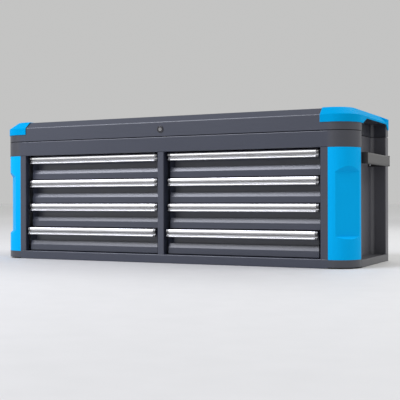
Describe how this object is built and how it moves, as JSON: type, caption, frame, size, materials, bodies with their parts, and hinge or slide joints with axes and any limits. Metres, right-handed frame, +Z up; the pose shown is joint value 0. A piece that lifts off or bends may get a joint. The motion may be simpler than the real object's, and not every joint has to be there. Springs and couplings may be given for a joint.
{
  "type": "tool chest",
  "caption": "Wide lidded tool chest with side-by-side columns of drawers, full-width aluminium pulls, blue corner guards, a locking lid and a bar handle on each end.",
  "frame": {"origin": "on the floor, under the middle of the chest's bounding box", "axes": "+X to the right of a person facing the drawers, -Y towards that person, +Z up"},
  "size_m": [1.352, 0.4255, 0.4935],
  "materials": {
    "body_paint": "satin dark grey powder coat",
    "drawer_paint": "satin dark blue-grey powder coat",
    "blue_plastic": "bright blue moulding, semi-gloss",
    "pull_aluminium": "satin anodised extrusion",
    "dark_plastic": "matt dark moulding",
    "grey_plastic": "matt grey moulding",
    "zinc_steel": "zinc-plated steel",
    "lock_chrome": "polished chrome plate",
    "strut_black": "black paint"
  },
  "bodies": {
    "carcass": {"back_panel": "body_paint", "base_pan": "body_paint", "body_brackets": "zinc_steel", "body_hinge": "zinc_steel", "bottom_rail": "body_paint", "centre_divider": "body_paint", "fixed_runners": "zinc_steel", "handle_brackets": "dark_plastic", "handle_grips": "grey_plastic", "handle_screws": "zinc_steel", "left_corner_guard": "blue_plastic", "right_corner_guard": "blue_plastic", "left_front_post": "body_paint", "right_front_post": "body_paint", "left_side_panel": "body_paint", "right_side_panel": "body_paint", "runner_panels": "zinc_steel", "till_floor": "body_paint", "top_rail": "body_paint"},
    "lid": {"lid_shell": "body_paint", "left_lid_cap": "blue_plastic", "right_lid_cap": "blue_plastic", "lid_hinge": "zinc_steel", "lock_housing": "lock_chrome", "lid_brackets": "zinc_steel"},
    "lock_plug": {"lock_plug": "lock_chrome"},
    "strut_tubes": {"strut_tubes": "strut_black"},
    "strut_rods": {"strut_rods": "lock_chrome"},
    "left_drawer_1": {"left_drawer_1_box": "drawer_paint", "left_drawer_1_pull": "pull_aluminium", "left_drawer_1_pull_caps": "dark_plastic", "left_drawer_1_runners": "zinc_steel"},
    "left_drawer_2": {"left_drawer_2_box": "drawer_paint", "left_drawer_2_pull": "pull_aluminium", "left_drawer_2_pull_caps": "dark_plastic", "left_drawer_2_runners": "zinc_steel"},
    "left_drawer_3": {"left_drawer_3_box": "drawer_paint", "left_drawer_3_pull": "pull_aluminium", "left_drawer_3_pull_caps": "dark_plastic", "left_drawer_3_runners": "zinc_steel"},
    "left_drawer_4": {"left_drawer_4_box": "drawer_paint", "left_drawer_4_pull": "pull_aluminium", "left_drawer_4_pull_caps": "dark_plastic", "left_drawer_4_runners": "zinc_steel"},
    "right_drawer_1": {"right_drawer_1_box": "drawer_paint", "right_drawer_1_pull": "pull_aluminium", "right_drawer_1_pull_caps": "dark_plastic", "right_drawer_1_runners": "zinc_steel"},
    "right_drawer_2": {"right_drawer_2_box": "drawer_paint", "right_drawer_2_pull": "pull_aluminium", "right_drawer_2_pull_caps": "dark_plastic", "right_drawer_2_runners": "zinc_steel"},
    "right_drawer_3": {"right_drawer_3_box": "drawer_paint", "right_drawer_3_pull": "pull_aluminium", "right_drawer_3_pull_caps": "dark_plastic", "right_drawer_3_runners": "zinc_steel"},
    "right_drawer_4": {"right_drawer_4_box": "drawer_paint", "right_drawer_4_pull": "pull_aluminium", "right_drawer_4_pull_caps": "dark_plastic", "right_drawer_4_runners": "zinc_steel"}
  },
  "joints": [
    {"name": "lid_hinge", "type": "hinge", "parent": "carcass", "child": "lid", "pos_m": [0, 0.20875, 0.4215], "axis": [-1, 0, 0], "range_deg": [0, 85]},
    {"name": "lock_turn", "type": "hinge", "parent": "lid", "child": "lock_plug", "pos_m": [0, -0.205, 0.445], "axis": [0, -1, 0], "range_deg": [0, 90]},
    {"name": "strut_swing", "type": "hinge", "parent": "carcass", "child": "strut_tubes", "pos_m": [0, 0.17875, 0.3855], "axis": [-1, 0, 0], "range_deg": [0, 80.21]},
    {"name": "strut_extend", "type": "slide", "parent": "strut_tubes", "child": "strut_rods", "axis": [0, -0.9496, 0.3134], "range_m": [0, 0.06009]},
    {"name": "left_drawer_1_slide", "type": "slide", "parent": "carcass", "child": "left_drawer_1", "axis": [0, -1, 0], "range_m": [0, 0.27]},
    {"name": "left_drawer_2_slide", "type": "slide", "parent": "carcass", "child": "left_drawer_2", "axis": [0, -1, 0], "range_m": [0, 0.27]},
    {"name": "left_drawer_3_slide", "type": "slide", "parent": "carcass", "child": "left_drawer_3", "axis": [0, -1, 0], "range_m": [0, 0.27]},
    {"name": "left_drawer_4_slide", "type": "slide", "parent": "carcass", "child": "left_drawer_4", "axis": [0, -1, 0], "range_m": [-0.012, 0.258]},
    {"name": "right_drawer_1_slide", "type": "slide", "parent": "carcass", "child": "right_drawer_1", "axis": [0, -1, 0], "range_m": [0, 0.27]},
    {"name": "right_drawer_2_slide", "type": "slide", "parent": "carcass", "child": "right_drawer_2", "axis": [0, -1, 0], "range_m": [0, 0.27]},
    {"name": "right_drawer_3_slide", "type": "slide", "parent": "carcass", "child": "right_drawer_3", "axis": [0, -1, 0], "range_m": [0, 0.27]},
    {"name": "right_drawer_4_slide", "type": "slide", "parent": "carcass", "child": "right_drawer_4", "axis": [0, -1, 0], "range_m": [-0.012, 0.258]}
  ],
  "couplings": [
    {"joint": "strut_swing", "follows": "lid_hinge", "ratio": 0.94354},
    {"joint": "strut_extend", "follows": "lid_hinge", "m_per_rad": 0.040497}
  ]
}
